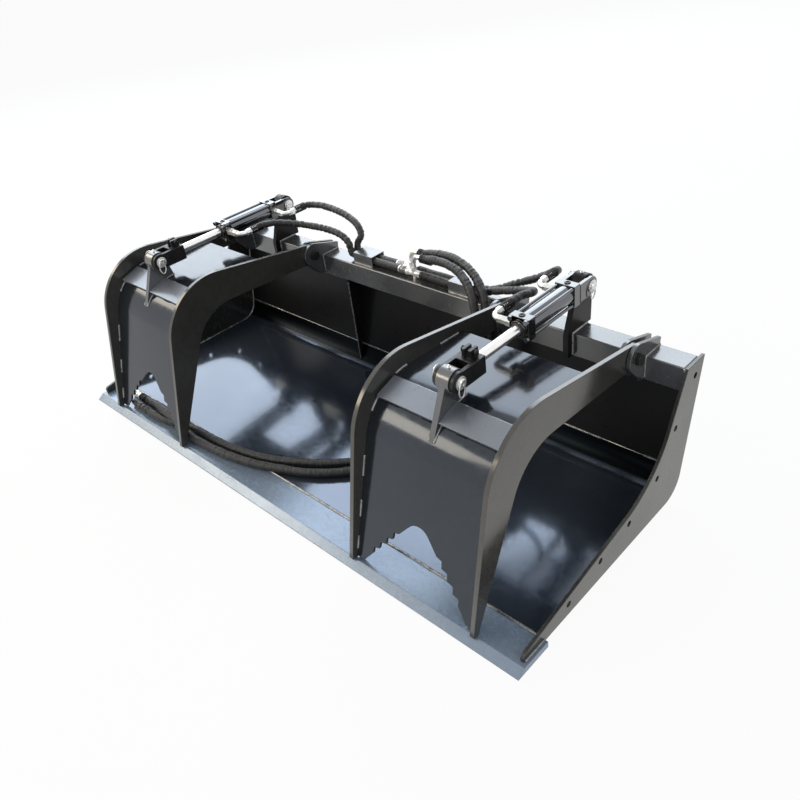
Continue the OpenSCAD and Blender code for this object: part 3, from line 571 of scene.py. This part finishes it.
# Supply hoses, the two free cords
for name, points, node, material, seed in (
        ("supply_sleeve_rear", SUPPLY_REAR, "supply_hose_rear", "sleeve", 3.1),
        ("supply_sleeve_front", SUPPLY_FRONT, "supply_hose_front", "sleeve_marked", 8.7)):
    obj, path, length = hose(name, points, SUPPLY_D, material, seed, depth=0.0016)
    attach(obj, "bucket")
    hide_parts(node)

# Profiles of the two couplers on the hoses' ends
SILVER = [
    (0, 8), (0, 11), (1, 12), (15, 12), (16, 11), (18, 11), (18.5, 13), (24, 13), (25, 13.8), (26, 13.8),
    (27, 12.9), (29, 13.8), (30, 12.9), (32, 13.8), (33, 12.9), (35, 13.8), (36, 12.9), (38, 13.8),
    (42, 13.8), (43, 12.6), (54, 12.6), (56, 11.4), (58, 10.8), (58, 7.5), (48, 7), (48, 0.5)]
CAPPED = [
    (0, 8), (0, 11), (1, 12), (15, 12), (16, 11), (18, 11), (18.5, 13.2), (20, 13.8), (44, 13.8),
    (45.5, 13), (47, 13.8), (64, 13.8), (66, 12.4), (67, 11.4), (78, 11.4), (80, 9.5), (80, 0.5)]
silver_end = at(*SUPPLY_FRONT[-1])
capped_end = at(*SUPPLY_REAR[-1])
silver = by_angle(lathe("silver_coupler_turned", SILVER, silver_end, (-1, 0, 0), "zinc", 36), 30)
capped = by_angle(lathe("capped_coupler_turned", CAPPED, capped_end, (-1, 0, 0), "rubber", 36), 30)
for obj, node in ((silver, "silver_coupler"), (capped, "capped_coupler")):
    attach(obj, "bucket")
    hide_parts(node)


def swan_ferrule(name, route):
    x, y, z = route[0]
    return ferrule(name, (x - 2, y, z), (1, 0, 0), SWAN_FERRULE, "bucket")


def tail_ferrule(name, route):
    x, y, z = route[-1]
    return ferrule(name, (x + TAIL_FERRULE[0], y, z), (-1, 0, 0), TAIL_FERRULE, "bucket")


rear_start = swan_ferrule("ferrule_supply_rear", SUPPLY_REAR)
front_start = swan_ferrule("ferrule_supply_front", SUPPLY_FRONT)
rear_end = tail_ferrule("ferrule_capped", SUPPLY_REAR)
front_end = tail_ferrule("ferrule_silver", SUPPLY_FRONT)

# Hoses between the cylinders and the tees
for side, cylinder, base, rod, base_end, rod_end in (
        ("left", "left_cylinder", LEFT_BASE, LEFT_ROD, LEFT_BASE[7], LEFT_ROD[6]),
        ("right", "right_cylinder", RIGHT_BASE, RIGHT_ROD, RIGHT_BASE[6], RIGHT_ROD[6])):
    for kind, points, end, seed in (("base", base, base_end, 11), ("rod", rod, rod_end, 17)):
        name = side + "_" + kind
        obj, _, _ = hose(name + "_sleeve", points, HOSE_D, "sleeve", seed + len(side),
                         depth=0.0029, pitch=105, sink=0.3, crest=0.0)
        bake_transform(obj)
        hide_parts(name + "_hose")
        x, y, z = points[0]
        ferrule(name + "_ferrule", (x, y - 24, z), (0, 1, 0), PORT_FERRULE, cylinder)

# Straight hoses on both sides of each tee, and their ferrules
STRAIGHT_R = 0.0124
STRAIGHT_STEP = 0.0034
verts, faces, uvs = [], [], []
for y, x0, x1, x2, x3 in ((HOSE_REAR, -244, -45, 17, 257), (HOSE_FRONT, -244, -11, 51, 257)):
    for i, (a, b) in enumerate(((x0, x1), (x2, x3))):
        points = [at(x, y, HOSE_Z) for x in (a, (a + b) / 2, b)]
        path, _ = smooth_path(points, STRAIGHT_STEP)
        sweep(path, wrinkled(STRAIGHT_R, y + i, depth=0.0010), HOSE_SIDES, verts, faces, uvs)
straight = new_mesh("straight_sleeves", verts, faces, "sleeve", uvs=uvs)
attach(straight, "bucket")
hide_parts("straight_hoses")
for i, (x, y, way, material) in enumerate((
        (-43, HOSE_REAR, -1, "zinc"), (15, HOSE_REAR, 1, "ferrule_steel"),
        (-9, HOSE_FRONT, -1, "zinc"), (49, HOSE_FRONT, 1, "ferrule_steel"))):
    ferrule("tee_ferrule_%d" % i, (x, y, HOSE_Z), (way, 0, 0), TEE_FERRULE, "bucket", material)

# Finish of each carried-over node: its material, and the width of its rounded edges in millimetres
FINISH = {
    "cutting_edge": ("edge_paint", 1.2), "floor_sheet": ("floor_paint", 0.6),
    "back_sheet": ("back_paint", 0.6), "side_plate_left": ("side_paint_ground_reflection", 1.2),
    "side_plate_right": ("side_paint_ground_reflection", 1.2), "top_tube": ("paint", 4.5),
    "tube_gussets": ("back_paint", 1.2), "wear_bars": ("back_paint", 1.2),
    "mast_left": ("back_paint", 1.2), "mast_right": ("back_paint", 1.2),
    "ears_left": ("paint", 1.2), "ears_right": ("paint", 1.2),
    "pivot_pins_left": ("black_steel", 1.0), "pivot_pins_right": ("black_steel", 1.0),
    "hose_guards": ("paint", 1.0), "tee_blocks": ("zinc", 0.6), "swan_tubes": ("zinc", 0),
    "attach_plate": ("back_paint", 1.2), "attach_hook": ("back_paint", 0),
    "attach_foot_flange": ("back_paint", 1.2), "attach_ribs": ("back_paint", 1.2)}
SIDE_FINISH = {
    "claw_outer": ("claw_paint_ground_reflection", 1.4), "claw_inner": ("claw_paint_ground_reflection", 1.4), "skin": ("skin_paint", 0.8),
    "shoulder_bar": ("bar_paint_sky_reflection", 0.8), "lug": ("paint", 1.2), "barrel": ("barrel_paint", 0),
    "front_head": ("black_paint", 1.4), "base_cap": ("black_paint", 1.4), "tie_rods": ("barrel_paint", 0.5),
    "ports": ("zinc", 0.6), "rod": ("chrome", 0.5), "clevis": ("black_steel", 1.4),
    "clamp_bolt": ("black_steel", 0.8)}
for side in ("left_", "right_"):
    FINISH.update({side + node: finish for node, finish in SIDE_FINISH.items()})
for node, (material, width) in FINISH.items():
    obj = nodes[node]
    obj.data.materials.clear()
    obj.data.materials.append(MATS[material])
    if width:
        softened(obj, width)

# Pins of the cylinders, with washers and split rings
PIN = [
    (0, 0.5), (0, 10.6), (2.2, 12.7), (10, 12.7), (10, 18), (10.8, 18.4), (13.6, 18.4), (14, 18),
    (14, 12.7), (79.3, 12.7), (79.3, 17.6), (79.8, 18.2), (82.6, 18.2), (83, 17.6), (83, 12.7),
    (86.6, 12.7), (89, 10.4), (89, 4), (87.8, 3), (87.8, 0.4)]
PIN_START = 46.5
RING_WIRE = 1.8
RING_STEPS = 36


def ring(verts, faces, centre, radius, stretch):
    """A wire loop that leans a little across the pin, its height stretched by a factor."""
    loop = []
    for i in range(RING_STEPS + 1):
        turn = 2 * math.pi * i / RING_STEPS
        loop.append(at(centre[0] + 1.5 * math.sin(turn), centre[1] + radius * math.cos(turn),
                       centre[2] + radius * stretch * math.sin(turn)))
    sweep(loop, lambda run, angle: RING_WIRE / 1000, 8, verts, faces)


for side, gx in (("left", CYL_LEFT), ("right", CYL_RIGHT)):
    for kind, y, body in (("rod", ROD_PIN_Y, "_piston_rod"), ("mast", MAST_PIN_Y, "_cylinder")):
        verts, faces = [], []
        turned(verts, faces, PIN, at(gx - PIN_START, y, CYL_Z), (1, 0, 0), 32)
        ring(verts, faces, (gx + 39.6, y - 4, CYL_Z - 17), 11, 1.9)
        ring(verts, faces, (gx - 40.5, y, CYL_Z + 9), 13, 1.25)
        pin = by_angle(new_mesh(side + "_" + kind + "_pin_turned", verts, faces, "zinc"), 34)
        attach(pin, side + body)
        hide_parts(side + "_" + kind + "_pin")

# Small turned pieces: grease nipples, plugs in the spare ports, rod wipers
NIPPLE_Z = CYL_Z + 31
PLUG_Z = CYL_Z + 31.6
NIPPLE = [(0, 4.6), (3.2, 4.6), (3.4, 3.0), (6.0, 3.0), (7.0, 2.0), (8.2, 2.6), (9.2, 1.6), (9.4, 0.4)]
PLUG = [(0, 9.0), (2.0, 9.0), (2.8, 8.0), (2.8, 4.6), (1.0, 4.2), (1.0, 0.4)]
WIPER = [(0, 14.5), (0, 17.0), (1.6, 18.8), (4, 18.8), (4, 14.5)]
for side, gx in (("left", CYL_LEFT), ("right", CYL_RIGHT)):
    for name, profile, place, axis, material, body in (
            ("lug_nipple", NIPPLE, (gx, ROD_PIN_Y, NIPPLE_Z), (0, 0, 1), "zinc", side + "_grapple"),
            ("mast_nipple", NIPPLE, (gx, MAST_PIN_Y, NIPPLE_Z), (0, 0, 1), "zinc", "bucket"),
            ("front_plug", PLUG, (gx, 547, PLUG_Z), (0, 0, 1), "black_steel", side + "_cylinder"),
            ("rear_plug", PLUG, (gx, 755, PLUG_Z), (0, 0, 1), "black_steel", side + "_cylinder"),
            ("wiper", WIPER, (gx, 522, CYL_Z), (0, 1, 0), "rubber", side + "_cylinder")):
        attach(by_angle(lathe(side + "_" + name, profile, at(*place), axis, material, 24), 30), body)


# Outlines of the skins and of the floor, for the welds that follow them
def corner_arc(a, p, b, radius, count=14):
    """The points of an arc that rounds the corner p between a and b."""
    a, p, b = Vector(a), Vector(p), Vector(b)
    u = (a - p).normalized()
    v = (b - p).normalized()
    half = u.angle(v) / 2
    centre = p + (u + v).normalized() * radius / math.sin(half)
    start = p + u * radius / math.tan(half) - centre
    turn = (p + v * radius / math.tan(half) - centre).angle_signed(start)
    return [centre + Matrix.Rotation(turn * i / count, 2) @ start for i in range(count + 1)]


def stretch_of(line, low, high):
    """The points of an outline, twelve to a leg, whose y lies between two values."""
    out = []
    for a, b in zip(line, line[1:]):
        for t in (i / 12 for i in range(12)):
            point = a.lerp(b, t)
            if low <= point.x <= high:
                out.append(point)
    return out


SKIN_LINE = [Vector(SKIN_REAR), *corner_arc(SKIN_REAR, SKIN_SHOULDER, SKIN_TIP, SKIN_R), Vector(SKIN_TIP)]
FLOOR_FRONT = (EDGE_D, EDGE_T)
FLOOR_LINE = [Vector(FLOOR_FRONT), *corner_arc(FLOOR_FRONT, (773.7, EDGE_T), (787.4, 92), BEND_INNER_R),
              Vector((839.1, 363))]
BEAD_STEP = 0.0022
SCALE_PITCH = 0.0062

welds = {"bucket": ([], []), "left_grapple": ([], []), "right_grapple": ([], [])}


def bead(body, points, radius):
    """A weld bead: overlapping scales along a polyline, half sunk into the corner that it fills."""
    points = [at(*p) for p in points]
    path = [points[0]]
    for a, b in zip(points, points[1:]):
        pieces = max(1, round((b - a).length / BEAD_STEP))
        path += [a.lerp(b, (i + 1) / pieces) for i in range(pieces)]
    seed = points[0].x * 7 + points[0].y * 3

    def scaled(run, angle):
        scale = abs(math.sin(run * math.pi / SCALE_PITCH))
        return radius / 1000 * (0.82 + 0.24 * scale + 0.22 * noise.noise(Vector((run * 60, seed, 0))))
    sweep(path, scaled, 8, *welds[body])


# The seam between floor and back has beads; between them a thin near-white strip is painted light, for light
# seen through the gap
SEAM_BEADS = ((-992, -772), (-330, 755), (894, 992))
SEAM_GAP_LIGHT = ((-771, -331), (756, 893))
for x0, x1 in SEAM_BEADS:
    bead("bucket", [(x0, 786.6, 92.5), (x1, 786.6, 92.5)], 4.2)
bead("bucket", [(-992, EDGE_D - 0.5, EDGE_T), (992, EDGE_D - 0.5, EDGE_T)], 4.4)
for way in (-1, 1):
    inner = way * (SIDE_INNER - 0.5)
    outer = way * (SIDE_OUTER + 0.5)
    bead("bucket", [(inner, p.x, p.y) for p in FLOOR_LINE], 4)
    bead("bucket", [(outer, 42, EDGE_T + 0.4), (outer, EDGE_D - 1, EDGE_T + 0.4)], 4)
    bead("bucket", [(inner, TUBE_FRONT, 366), (inner, TUBE_FRONT, TUBE_TOP - 1)], 3.4)
    bead("bucket", [(way * GUSSET_X, 762, 26), (way * GUSSET_X, 764, 360)], 3)


def tube_bead(x, low, radius):
    """Up the tube's front and over its top."""
    top = TUBE_TOP + 0.5
    bead("bucket", [(x, TUBE_FRONT, low), (x, TUBE_FRONT, top), (x, TUBE_REAR, top)], radius)


def skin_front(z):
    """The y of the skin's straight front at a height."""
    (y0, z0), (y1, z1) = SKIN_TIP, SKIN_SHOULDER
    return y0 + (z - z0) * (y1 - y0) / (z1 - z0)


for gx, cx, body in ((-GRAPPLE_X, CYL_LEFT, "left_grapple"), (GRAPPLE_X, CYL_RIGHT, "right_grapple")):
    for claw in (-CLAW_MID, CLAW_MID):
        for offset in (-EAR_FAR, -EAR_NEAR, EAR_NEAR, EAR_FAR):
            tube_bead(gx + claw + offset, 376, 3.2)
    for x in (cx - POST_HALF, cx + POST_HALF):
        tube_bead(x, 371, 4)
        bead(body, [(x, p.x, p.y) for p in stretch_of(SKIN_LINE, 168, 302)], 3.6)
    for x in (gx - CLAW_INNER, gx + CLAW_INNER):
        for low, high in ((450, 546), (272, 330), (172, 214)):
            bead(body, [(x, p.x, p.y + 0.6) for p in stretch_of(SKIN_LINE, low, high)], 4)
        for z0, z1 in ((330, 270), (200, 150), (90, 50)):
            bead(body, [(x, skin_front(z) - 0.6, z) for z in (z0, z1)], 4)
    bead(body, [(gx - 196, 264, 503.4), (gx + 196, 264, 503.4)], 2.6)
for x0 in GUARDS:
    bead("bucket", [(x, 783.6, TUBE_TOP + 0.6) for x in (x0 + 2, x0 + GUARD_L - 2)], 3)
for x in WEAR_X:
    for edge in (x - WEAR_W / 2, x + WEAR_W / 2):
        bead("bucket", [(edge, 128, 11), (edge, 696, 11)], 3)


def leaned(x, y, z):
    """A point given along the lean of the back, in the tables' frame."""
    lean = math.radians(BACK_LEAN)
    return x, BACK_FOOT_Y + y * math.cos(lean) + z * math.sin(lean), z * math.cos(lean) - y * math.sin(lean)


for z in (ATTACH_H, 31):
    bead("bucket", [leaned(x, ATTACH_T + 0.6, z) for x in (9 - ATTACH_HALF, ATTACH_HALF - 9)], 4)
for x in (-ATTACH_HALF - 1, ATTACH_HALF + 1):
    bead("bucket", [leaned(x, 1, 98), leaned(x, 1, 418)], 4)
for body, (verts, faces) in welds.items():
    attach(new_mesh("welds_" + body, verts, faces, "weld"), body)

# Painted light: thin near-white strips along the seam where there is no bead
SEAM_GAP_LIGHT_R = 0.0014
verts, faces = [], []
for x0, x1 in SEAM_GAP_LIGHT:
    sweep([at(x0, 786.3, 92.8), at(x1, 786.3, 92.8)], lambda run, angle: SEAM_GAP_LIGHT_R, 8, verts, faces)
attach(new_mesh("seam_gap_light_strip", verts, faces, "seam_gap_light"), "bucket")

# Short tabs that hold the front edge of each shoulder bar
BAR_TOUCH = Vector((255.5, 499.0))
slope = math.radians(BAR_SLOPE)
bar_along = Vector((-math.cos(slope), -math.sin(slope)))
bar_in = Vector((math.sin(slope), -math.cos(slope)))
TAB = ((52, 0.2), (65, 0.2), (65, 12), (52, 10))
TAB_OFFSETS = (-150, -38, 72, 186)
TAB_HALF = 14
for gx, body in ((-GRAPPLE_X, "left_grapple"), (GRAPPLE_X, "right_grapple")):
    verts, faces = [], []
    for x in (gx + offset for offset in TAB_OFFSETS):
        first = len(verts)
        for across in (x - TAB_HALF, x + TAB_HALF):
            for u, v in TAB:
                p = BAR_TOUCH + bar_along * u + bar_in * v
                verts.append(at(across, p.x, p.y))
        faces += [tuple(first + i for i in face) for face in (
            (0, 1, 2, 3), (7, 6, 5, 4), (0, 4, 5, 1), (1, 5, 6, 2), (2, 6, 7, 3), (3, 7, 4, 0))]
    tabs = new_mesh(body + "_bar_tabs", verts, faces, "back_paint", False)
    bevel = tabs.modifiers.new("bevel", "BEVEL")
    bevel.width = 0.0008
    bevel.segments = 2
    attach(tabs, body)


# Stage, light and background
def straight_rays(tree):
    """1 for the rays that the camera, a mirror or glass sends, 0 for the rest."""
    ways = tree.nodes.new("ShaderNodeLightPath")
    seen = ways.outputs["Is Camera Ray"]
    for other in ("Is Glossy Ray", "Is Transmission Ray"):
        both = tree.nodes.new("ShaderNodeMath")
        both.operation = "MAXIMUM"
        tree.links.new(seen, both.inputs[0])
        tree.links.new(ways.outputs[other], both.inputs[1])
        seen = both.outputs[0]
    return seen


FLOOR_REACH = 40
FLOOR_Z = -0.0005
FLOOR_GLOW = 0.94
corners = [(x * FLOOR_REACH, y * FLOOR_REACH, FLOOR_Z) for x, y in ((-1, -1), (1, -1), (1, 1), (-1, 1))]
floor = bpy.data.meshes.new("studio_floor")
floor.from_pydata(corners, [], [(0, 1, 2, 3)])
floor_obj = bpy.data.objects.new("studio_floor", floor)
scene.collection.objects.link(floor_obj)
s = Shader("studio_floor")
grain = s.noise(3, 2, 0.5)
s.link(s.mix(s.range(grain, 0.0, 1.0), (0.86, 0.86, 0.86), (0.90, 0.90, 0.90)), s.out.inputs["Base Color"])
s.set(Roughness=0.9)
glow = s.node("ShaderNodeEmission")
glow.inputs["Strength"].default_value = 1.0
floor_mix = s.node("ShaderNodeMixShader")
s.link(s.math("MULTIPLY", straight_rays(s.tree), FLOOR_GLOW), floor_mix.inputs[0])
s.link(s.out.outputs[0], floor_mix.inputs[1])
s.link(glow.outputs[0], floor_mix.inputs[2])
s.link(floor_mix.outputs[0], s.tree.nodes["Material Output"].inputs[0])
floor.materials.append(s.material)

world = bpy.data.worlds.new("studio")
world.use_nodes = True
scene.world = world
tree = world.node_tree
sky = tree.nodes["Background"]
sky.inputs["Color"].default_value = (0.93, 0.96, 1.0, 1)
sky.inputs["Strength"].default_value = 0.35
white = tree.nodes.new("ShaderNodeBackground")
white.inputs["Color"].default_value = (1, 1, 1, 1)
white.inputs["Strength"].default_value = 1.0
world_mix = tree.nodes.new("ShaderNodeMixShader")
tree.links.new(straight_rays(tree), world_mix.inputs[0])
tree.links.new(sky.outputs[0], world_mix.inputs[1])
tree.links.new(white.outputs[0], world_mix.inputs[2])
tree.links.new(world_mix.outputs[0], tree.nodes["World Output"].inputs[0])


def softbox(name, place, target, width, height, power, colour=(1, 1, 1)):
    """A rectangular light that faces a target."""
    light = bpy.data.lights.new(name, "AREA")
    light.shape = "RECTANGLE"
    light.size = width
    light.size_y = height
    light.energy = power
    light.color = colour
    obj = bpy.data.objects.new(name, light)
    obj.location = place
    obj.rotation_euler = (Vector(target) - Vector(place)).to_track_quat("-Z", "Y").to_euler()
    scene.collection.objects.link(obj)


softbox("light_back", (-3.9, 3.5, 3.8), (0, 0, 0.3), 9.0, 3.9, 400, (0.82, 0.91, 1.0))
softbox("light_front", (-3.8, -2.9, 3.1), (0, 0, 0.4), 5.0, 1.5, 140, (1.0, 0.86, 0.66))
softbox("light_side", (3.4, -0.6, 2.6), (0, 0, 0.2), 1.6, 1.6, 16)
